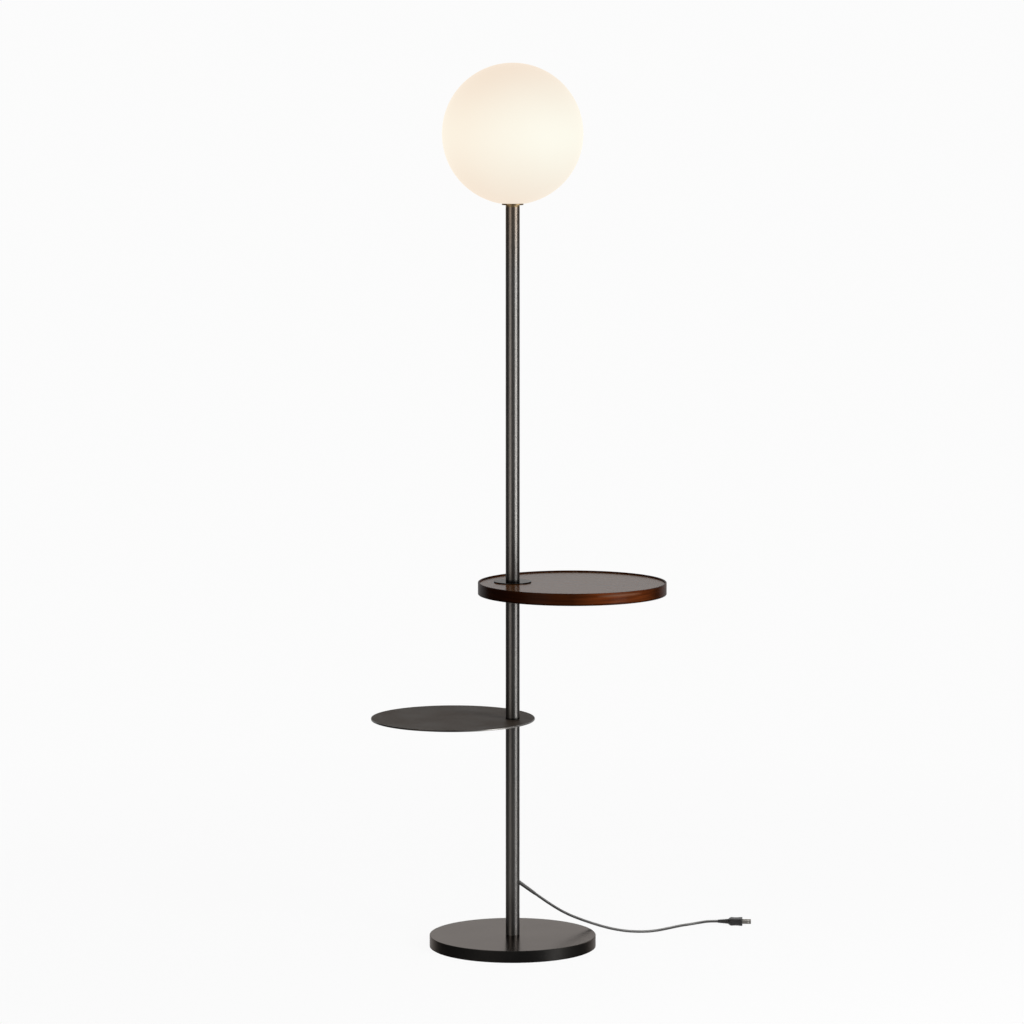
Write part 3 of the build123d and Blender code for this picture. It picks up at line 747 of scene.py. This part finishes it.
# Painted highlight: the bare edge is painted bright on the side where the light is mirrored, and stays dark
# elsewhere.
edge_highlight = spread(tree, towards(tree, turn, highlight_side), highlight_start, highlight_full)
coat = blend(tree, bare, coat, blend(tree, edge_highlight, bare_dark, painted_edge_highlight))
gloss = between(tree, patches, 0.46, 0.56)
gloss = calc(tree, "MULTIPLY_ADD", dust, 0.3, gloss)
gloss = calc(tree, "MULTIPLY_ADD", bare, bare_polish, gloss)
wear(tree, shader, base_color=coat, roughness=gloss, metallic=bare)
roughen(tree, shader, noise(tree, place, scale=1800.0, detail=2.0), depth=0.00008, strength=0.35)
dress(shelf_bronze, "shelf_plate")

# %% [markdown]
# ## Walnut rim
# The tray's rim is a hoop of red-brown walnut under lacquer. Straight grain would cut across it, so the
# place is unrolled to arc length, height and depth. The one seam falls where a bent hoop has its scarf
# joint, beside the pole. Painted light keeps the side towards the light pale, with a painted highlight
# streak near the top, and painted shade darkens the wood away from it. The wood is darker along the
# lower edge, and its top edge is rubbed lighter, partly a painted highlight. The lacquer's low index
# leaves its sheen for flat angles.

# %% Walnut rim
rim_low, rim_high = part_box("tray_rim")
tray_middle = (rim_low[0] + rim_high[0]) / 2
rim_radius = (rim_high[0] - rim_low[0]) / 2
highlight_edge_radius = rim_radius - 0.0015
lit_side = radians(-52.0)
lit_start = 0.86
lit_full = 0.975
highlight_streak_start = 0.96
highlight_streak_full = 0.99
highlight_streak_height = rim_high[2] - 0.0055
highlight_streak_width = 0.0030
highlight_streak_share = 0.22
lower_dark_full = rim_low[2] + 0.0012
lower_dark_end = rim_low[2] + 0.0042
lower_dark_share = 0.75
shade_share = 0.60
shade_and_patch_dark = (0.0075, 0.0030, 0.0015)
highlight_streak_colour = (0.45, 0.30, 0.20)
lower_edge_dark = (0.0110, 0.0035, 0.0012)
rubbed_highlight = (0.17, 0.07, 0.03)

walnut_rim, tree, shader, place = new_finish(
    "walnut_rim", coat_weight=0.45, coat_roughness=0.24, coat_ior=1.12, specular_ior_level=0.0
)
reach, height, turn = from_axis(tree, place, tray_middle)
around = times(tree, turn, rim_radius)
unrolled = put(tree, "ShaderNodeCombineXYZ", {0: around, 1: height, 2: reach}).outputs[0]
wood = use(
    tree,
    grain,
    unrolled,
    band=0.0065,
    dark=(0.085, 0.0180, 0.0040),
    middle=(0.138, 0.029, 0.0062),
    light=(0.235, 0.060, 0.0155),
)
# Painted light and shade: the wood is painted pale on the side towards the light and dark away from it,
# with random darker patches.
facing_light = towards(tree, turn, lit_side)
patches = use(tree, variation, scaled(tree, unrolled, 0.3, 1.0, 1.0), scale=20.0)["Mask"]
shade_and_patches = spread(tree, facing_light, lit_start, lit_full, shade_share, 0.0)
shade_and_patches = calc(tree, "MULTIPLY_ADD", patches, 0.25, shade_and_patches)
stain = blend(tree, shade_and_patches, wood["Colour"], shade_and_patch_dark)
# Painted highlight: a pale streak is painted under the top edge on the lit side.
highlight_streak = spread(tree, apart(tree, height, highlight_streak_height), 0.0, highlight_streak_width, highlight_streak_share, 0.0)
highlight_streak = times(tree, highlight_streak, spread(tree, facing_light, highlight_streak_start, highlight_streak_full))
stain = blend(tree, highlight_streak, stain, highlight_streak_colour)
# Darker along the lower edge.
lower_edge_darkening = spread(tree, height, lower_dark_full, lower_dark_end, lower_dark_share, 0.0)
stain = blend(tree, lower_edge_darkening, stain, lower_edge_dark)
# Rubbed wear and painted highlight: the rim's top edge is painted lighter.
rub_and_highlight_mask = use(
    tree, rub_and_highlight, place, centre_x=tray_middle, radius=highlight_edge_radius, height=rim_high[2], width=0.003
)["Mask"]
stain = blend(tree, times(tree, rub_and_highlight_mask, 0.3), stain, rubbed_highlight)
wear(tree, shader, base_color=stain, roughness=spread(tree, wood["Height"], -1.0, 1.0, 0.46, 0.36))
roughen(tree, shader, wood["Height"], depth=0.00005, strength=0.3)
dress(walnut_rim, "tray_rim")

# %% [markdown]
# ## Walnut floor
# The tray's floor is a flat panel of browner walnut under a glossier lacquer. It could share the rim's
# finish, but its grain runs straight, in wider bands. So it takes the same group with its own values.

# %% Walnut floor
walnut_floor, tree, shader, place = new_finish(
    "walnut_floor", coat_weight=0.46, coat_roughness=0.19, specular_ior_level=0.0
)
wood = use(
    tree,
    grain,
    place,
    band=0.011,
    dark=(0.085, 0.031, 0.009),
    middle=(0.170, 0.066, 0.020),
    light=(0.250, 0.104, 0.036),
)
dust = use(tree, dusting, place, amount=0.06)["Mask"]
stain = blend(tree, dust, wood["Colour"], (0.16, 0.14, 0.12))
wear(tree, shader, base_color=stain, roughness=spread(tree, wood["Height"], -1.0, 1.0, 0.40, 0.28))
roughen(tree, shader, wood["Height"], depth=0.00004, strength=0.25)
dress(walnut_floor, "tray_floor")

# %% [markdown]
# ## Turned metal
# The tray's flanges, the globe's brass seat and the small steel pieces are turned on a lathe, which
# leaves fine rings round the axis. They could be cut into the mesh, but are too shallow to show as shape.
# One function makes all these finishes from two colours and two grades of gloss.

# %% Turned metal
def turned_metal(name, dark, light, smooth, rough, **values):
    """A lathe-turned metal whose rings run round the pole's axis."""
    material, tree, shader, place = new_finish(name, metallic=1.0, **values)
    rings = use(tree, turning, place)["Mask"]
    patches = use(tree, variation, place, scale=60.0)["Mask"]
    tone = calc(tree, "MULTIPLY_ADD", rings, 0.5, times(tree, patches, 0.5))
    gloss = between(tree, rings, smooth, rough)
    wear(tree, shader, base_color=blend(tree, tone, dark, light), roughness=gloss)
    roughen(tree, shader, rings, depth=0.00002, strength=0.3)
    return material


flange_steel = turned_metal(
    "flange_steel",
    dark=(0.021, 0.020, 0.019),
    light=(0.032, 0.031, 0.029),
    smooth=0.14,
    rough=0.20,
    specular_tint=(0.34, 0.33, 0.32),
)
dress(flange_steel, "tray_top_flange", "tray_under_flange")

# Each: dark and light colour, roughness where smooth and where rough.
METALS = {
    "aged_brass": ((0.17, 0.115, 0.055), (0.30, 0.22, 0.125), 0.38, 0.50),
    "plated_steel": ((0.42, 0.42, 0.41), (0.58, 0.58, 0.57), 0.28, 0.42),
    "contact_brass": ((0.50, 0.34, 0.12), (0.66, 0.48, 0.20), 0.25, 0.35),
    "collar_aluminium": ((0.55, 0.55, 0.56), (0.70, 0.70, 0.71), 0.3, 0.42),
    "cap_aluminium": ((0.60, 0.60, 0.60), (0.74, 0.74, 0.73), 0.22, 0.34),
    "blade_nickel": ((0.46, 0.43, 0.39), (0.60, 0.57, 0.52), 0.20, 0.32),
}
fasteners = [name for name in nodes if name.endswith(("_insert", "_stud", "_bolt", "_nut", "_nipple"))]
metals = {name: turned_metal(name, *look) for name, look in METALS.items()}
dress(metals["aged_brass"], "globe_seat")
dress(metals["plated_steel"], *fasteners, "base_washer", "tray_flange_screws")
dress(metals["contact_brass"], "holder_contact", "bulb_tip")
dress(metals["collar_aluminium"], "globe_collar")
dress(metals["cap_aluminium"], "bulb_cap", "holder_shell")
dress(metals["blade_nickel"], "plug_blades")

# %% [markdown]
# ## Plastics, rubber, foam and castings
# These are dull pieces with a fine skin. Each could have a finish of its own, but they differ only in
# colour, gloss and the size and depth of that skin, from the smooth jacket of the cord to the open cells
# of the foam pad. So one function makes them all. The cord's upper side is painted paler, as painted light
# from above.

# %% Moulded and cast pieces
def moulded(name, dark, light, smooth, rough, pebbles, depth, painted_top_light=None):
    """A piece with slow patches and a pebbled skin, and an upper side painted paler as painted light, if
    its colour is given.
    """
    material, tree, shader, place = new_finish(name)
    colour = blend(tree, use(tree, variation, place, scale=45.0)["Mask"], dark, light)
    if painted_top_light is not None:
        # Painted light: faces that point up are painted paler, as if lit from above.
        colour = blend(tree, spread(tree, facing_up(tree), 0.25, 0.90), colour, painted_top_light)
    bumps = noise(tree, place, pebbles)
    wear(tree, shader, base_color=colour, roughness=spread(tree, bumps, 0.3, 0.7, smooth, rough))
    roughen(tree, shader, bumps, depth, strength=0.5)
    return material


cord_plastic = moulded(
    "cord_plastic",
    dark=(0.050, 0.048, 0.046),
    light=(0.072, 0.070, 0.067),
    smooth=0.34,
    rough=0.46,
    pebbles=1500.0,
    depth=0.00003,
    painted_top_light=(0.50, 0.49, 0.48),
)
dress(cord_plastic, cord, "cord_bush", "inner_cable")

# Each: dark and light colour, roughness where smooth and where rough, pebbles to the metre, their depth.
MOULDED = {
    "plug_plastic": ((0.020, 0.019, 0.019), (0.030, 0.029, 0.028), 0.38, 0.52, 2200.0, 0.00005),
    "nylon": ((0.010, 0.010, 0.010), (0.016, 0.016, 0.016), 0.46, 0.58, 1600.0, 0.00003),
    "gasket_rubber": ((0.012, 0.012, 0.012), (0.020, 0.020, 0.020), 0.65, 0.80, 2500.0, 0.00004),
    "holder_black": ((0.012, 0.012, 0.013), (0.022, 0.021, 0.021), 0.30, 0.42, 1800.0, 0.00003),
    "holder_ceramic": ((0.70, 0.68, 0.63), (0.80, 0.78, 0.74), 0.45, 0.60, 2600.0, 0.00004),
    "cast_weight": ((0.024, 0.024, 0.025), (0.046, 0.045, 0.044), 0.62, 0.80, 420.0, 0.0003),
    "foam_pad": ((0.010, 0.010, 0.010), (0.020, 0.020, 0.020), 0.85, 0.98, 900.0, 0.0004),
    "diode_board": ((0.66, 0.67, 0.66), (0.76, 0.77, 0.76), 0.36, 0.48, 1900.0, 0.00002),
    "diode_phosphor": ((0.62, 0.42, 0.06), (0.78, 0.56, 0.10), 0.35, 0.5, 3000.0, 0.00002),
}
plastics = {name: moulded(name, *look) for name, look in MOULDED.items()}
dress(plastics["plug_plastic"], plug)
dress(plastics["nylon"], "shelf_washers", "tray_washers")
dress(plastics["gasket_rubber"], "globe_gasket")
dress(plastics["holder_black"], "holder_cup", "holder_skirt")
dress(plastics["holder_ceramic"], "holder_insulator")
dress(plastics["cast_weight"], "base_weight")
dress(plastics["foam_pad"], "base_pad")
dress(plastics["diode_board"], "bulb_led_board")

# %% [markdown]
# ## Opal globe
# The globe is a blown ball of opal glass with a matt outside. The CAD model holds it in pieces, so it is
# made again as one seamless shell. A ball with a thickness would do, but its mouth would have no lip. So
# an outline of the outer wall, the lip and the inner wall is turned about the pole.

# %% Opal globe
globe_wall = 0.003
globe_mouth = 0.0165
lip_round = 0.0003
wall_steps = 72
turn_steps = 144


def arc(radius, centre_z, first, last, count):
    """Points on a circle about the pole's axis, by angle from straight up."""
    angles = [first + (last - first) * i / count for i in range(count + 1)]
    return [(abs(radius * sin(a)), centre_z + radius * cos(a)) for a in angles]


globe_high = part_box("globe_upper_half")[1]
globe_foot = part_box("globe_neck")[0][2]
globe_radius = globe_high[0]
globe_middle = globe_high[2] - globe_radius
globe_inner = globe_radius - globe_wall
foot_angle = acos((globe_foot - globe_middle) / globe_radius)
mouth_angle = pi - asin(globe_mouth / globe_inner)
lip = [
    (globe_radius * sin(foot_angle) - lip_round, globe_foot),
    (globe_mouth + lip_round, globe_foot),
    (globe_mouth, globe_foot + lip_round),
]
outer_wall = arc(globe_radius, globe_middle, 0.0, foot_angle, wall_steps)
inner_wall = arc(globe_inner, globe_middle, mouth_angle, 0.0, wall_steps)
outline = outer_wall + lip + inner_wall
globe_mesh = skin("opal_globe", [level_ring(radius, height, turn_steps) for radius, height in outline])
globe = add_piece(
    "opal_globe", globe_mesh, "globe", ["globe_upper_half", "globe_lower_half", "globe_neck"]
)
print("globe:", len(globe_mesh.polygons), "faces, radius", round(globe_radius, 4))

# %% [markdown]
# ## Opal glass
# Opal glass spreads the light of its bulb. Light could be scattered inside the wall, but that is slow to
# render and exports badly. So the shell glows by itself, warm and most round its waist. Daylight from
# outside only cools it a little, so its own colour is a thin blue. The bulb inside has such a finish too.

# %% Opal glass
mist_share = 0.06
bulb_low, bulb_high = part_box("bulb_envelope")


def glowing(name, middle, reach, edge_light, middle_light, dark, light):
    """Opal glass that glows most at its middle height, and less as far above and below it as it reaches."""
    material, tree, shader, place = new_finish(
        name, roughness=0.6, specular_ior_level=0.05, emission_strength=1.0
    )
    away = apart(tree, upright(tree, place), middle)
    glow = spread(tree, away, 0.0, reach, 1.0, 0.0)
    glow.node.interpolation_type = "SMOOTHSTEP"
    mist = use(tree, variation, place, scale=8.0)["Mask"]
    glow = calc(tree, "MULTIPLY_ADD", mist, mist_share, times(tree, glow, 1.0 - mist_share))
    glow = blend(tree, glow, edge_light, middle_light)
    wear(tree, shader, emission_color=glow, base_color=blend(tree, mist, dark, light))
    return material


opal_glass = glowing(
    "opal_glass",
    middle=globe_middle,
    reach=0.140,
    edge_light=(0.890, 0.727, 0.583),
    middle_light=(0.968, 0.868, 0.728),
    dark=(0.017, 0.110, 0.143),
    light=(0.019, 0.121, 0.158),
)
dress(opal_glass, globe)
bulb_opal = glowing(
    "bulb_opal",
    middle=(bulb_low[2] + bulb_high[2]) / 2,
    reach=0.07,
    edge_light=(0.70, 0.58, 0.42),
    middle_light=(0.92, 0.80, 0.62),
    dark=(0.40, 0.39, 0.37),
    light=(0.44, 0.43, 0.41),
)
dress(bulb_opal, "bulb_envelope")

# %% [markdown]
# ## Growing shapes with Geometry Nodes
# Threads, diodes and ribs repeat by a rule. They could be modelled one by one, but a small node tree with
# named sizes can be used again with others. A seed object carries the tree as a modifier. Once it has
# run, its result becomes a plain mesh, which exports as it is.

# %% Helpers that run a geometry tree
SHAPE = {"Geometry": "NodeSocketGeometry"}


def geometry_group(name, sizes):
    """A geometry tree that makes a shape from named sizes and gives it a finish."""
    return new_group(name, "GeometryNodeTree", {**sizes, "Finish": None}, SHAPE)


def line_of_points(tree, given):
    """A row of points: how many, the first one and the step to the next."""
    row = {"Count": given["Count"], "Start Location": given["First"], "Offset": given["Step"]}
    return put(tree, "GeometryNodeMeshLine", row).outputs[0]


def settle(tree, given, results, geometry):
    """Ends a geometry tree: real meshes instead of instances, in their finish."""
    real = put(tree, "GeometryNodeRealizeInstances", {0: geometry}).outputs[0]
    painted = put(tree, "GeometryNodeSetMaterial", {"Geometry": real, "Material": given["Finish"]})
    give(tree, results, Geometry=painted.outputs[0])


def grow(name, tree, sizes):
    """Runs a geometry tree once with the given sizes and keeps its plain mesh."""
    seed = bpy.data.objects.new("seed", bpy.data.meshes.new("seed"))
    scene.collection.objects.link(seed)
    modifier = seed.modifiers.new("grow", "NODES")
    modifier.node_group = tree
    for socket in tree.interface.items_tree:
        if socket.in_out == "INPUT":
            modifier[socket.identifier] = sizes[socket.name]
    grown = seed.evaluated_get(bpy.context.evaluated_depsgraph_get())
    mesh = bpy.data.meshes.new_from_object(grown)
    seed.modifiers.remove(modifier)
    bpy.data.objects.remove(seed)
    mesh.name = name
    print(name, "grew", len(mesh.polygons), "faces")
    return mesh


print("helpers: geometry_group, grow")

# %% [markdown]
# ## Screw thread of the bulb
# The thread of a bulb's cap is rolled into thin metal, so it is a wave that winds up the cap, not a cut
# groove. A helix of wire could be laid on a cylinder, but moving the cylinder's own points in and out by
# a cosine of turn and height gives one clean skin.

# %% Bulb cap
barrel_sides = 64
barrel_rows = 90
cap_low, cap_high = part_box("bulb_cap")
cap_sizes = {
    "Radius": cap_high[0],
    "Bottom": cap_low[2],
    "Top": cap_high[2],
    "Pitch": 0.00282,
    "Depth": 0.0007,
    "Finish": metals["cap_aluminium"],
}

thread, given, results = geometry_group("rolled_thread", cap_sizes)
tall = calc(thread, "SUBTRACT", given["Top"], given["Bottom"])
half = times(thread, tall, 0.5)
barrel = put(
    thread,
    "GeometryNodeMeshCylinder",
    {"Vertices": barrel_sides, "Side Segments": barrel_rows, "Radius": given["Radius"], "Depth": tall},
).outputs["Mesh"]
_, height, turn = from_axis(thread, put(thread, "GeometryNodeInputPosition").outputs[0])
climb = times(thread, calc(thread, "DIVIDE", height, given["Pitch"]), tau)
wave = towards(thread, turn, climb)
dip = times(thread, calc(thread, "MULTIPLY_ADD", wave, 0.5, -0.5), given["Depth"])
thread_end = calc(thread, "SUBTRACT", half, given["Pitch"])
ends = spread(thread, calc(thread, "ABSOLUTE", height), thread_end, half, 1.0, 0.0)
dip = times(thread, dip, ends)
push_x = times(thread, calc(thread, "COSINE", turn), dip)
push_y = times(thread, calc(thread, "SINE", turn), dip)
push = put(thread, "ShaderNodeCombineXYZ", {0: push_x, 1: push_y}).outputs[0]
waved = put(thread, "GeometryNodeSetPosition", {"Geometry": barrel, "Offset": push}).outputs[0]
lift = put(thread, "ShaderNodeCombineXYZ", {2: calc(thread, "ADD", given["Bottom"], half)}).outputs[0]
lifted = put(thread, "GeometryNodeTransform", {"Geometry": waved, "Translation": lift}).outputs[0]
settle(thread, given, results, lifted)

cap_mesh = grow("bulb_cap_rolled", thread, cap_sizes)
cap_mesh.shade_smooth()
cap_mesh.set_sharp_from_angle(angle=SHARP)
add_piece("bulb_cap_rolled", cap_mesh, "bulb", ["bulb_cap"])

# %% [markdown]
# ## Diodes
# Inside the bulb a narrow board carries a row of diodes on each face. They could be placed by hand, but
# they stand at even steps, so a line of points carries one row, and a half turn makes the other.

# %% Diodes
board_low, board_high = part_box("bulb_led_board")
chip_size = (0.0035, 0.0008, 0.0028)
chip_count = 12
foot_margin = 0.014
top_margin = 0.007
chip_step = (board_high[2] - board_low[2] - foot_margin - top_margin) / (chip_count - 1)
diode_sizes = {
    "Count": chip_count,
    "First": (0.0, board_low[1] - chip_size[1] / 2, board_low[2] + foot_margin),
    "Step": (0.0, 0.0, chip_step),
    "Chip": chip_size,
    "Finish": plastics["diode_phosphor"],
}

diodes, given, results = geometry_group("diode_rows", diode_sizes)
line = line_of_points(diodes, given)
chip = put(diodes, "GeometryNodeMeshCube", {"Size": given["Chip"]}).outputs["Mesh"]
row = put(diodes, "GeometryNodeInstanceOnPoints", {"Points": line, "Instance": chip}).outputs[0]
back_row = put(diodes, "GeometryNodeTransform", {"Geometry": row, "Rotation": (0.0, 0.0, pi)}).outputs[0]
rows = put(diodes, "GeometryNodeJoinGeometry", {0: row})
diodes.links.new(back_row, rows.inputs[0])
settle(diodes, given, results, rows.outputs[0])

diode_mesh = grow("bulb_diodes", diodes, diode_sizes)
add_piece("bulb_diodes", diode_mesh, "bulb")

# %% [markdown]
# ## Ribs of the plug's strain relief
# The sleeve that guards the cord where it enters the plug has ribs, so that it bends evenly. They could
# be rings of the plug's skin, but all are one shape, larger towards the plug. So one ring is set on a
# line of points and scaled by its order.

# %% Plug ribs
ring_sides = 48
edge_sides = 12
rib_sizes = {
    "Count": 6,
    "First": (0.0022, 0.0, 0.0),
    "Step": (0.0029, 0.0, 0.0),
    "First Radius": 0.00302,
    "Last Radius": 0.00424,
    "Rib Share": 0.15,
    "Finish": plastics["plug_plastic"],
}

ribs, given, results = geometry_group("relief_ribs", rib_sizes)
line = line_of_points(ribs, given)
circle = "GeometryNodeCurvePrimitiveCircle"
round_path = put(ribs, circle, {"Resolution": ring_sides, "Radius": 1.0}).outputs[0]
rib_edge = put(ribs, circle, {"Resolution": edge_sides, "Radius": given["Rib Share"]}).outputs[0]
ring = put(ribs, "GeometryNodeCurveToMesh", {"Curve": round_path, "Profile Curve": rib_edge}).outputs[0]
order = put(ribs, "GeometryNodeInputIndex").outputs[0]
last = calc(ribs, "SUBTRACT", given["Count"], 1.0)
size = spread(ribs, order, 0.0, last, given["First Radius"], given["Last Radius"])
row = put(
    ribs,
    "GeometryNodeInstanceOnPoints",
    {"Points": line, "Instance": ring, "Rotation": (0.0, pi / 2, 0.0), "Scale": size},
).outputs[0]
settle(ribs, given, results, row)

rib_mesh = grow("plug_ribs", ribs, rib_sizes)
rib_mesh.transform(plug_place)
rib_mesh.shade_smooth()
plug_ribs = add_piece("plug_ribs", rib_mesh, "stand")
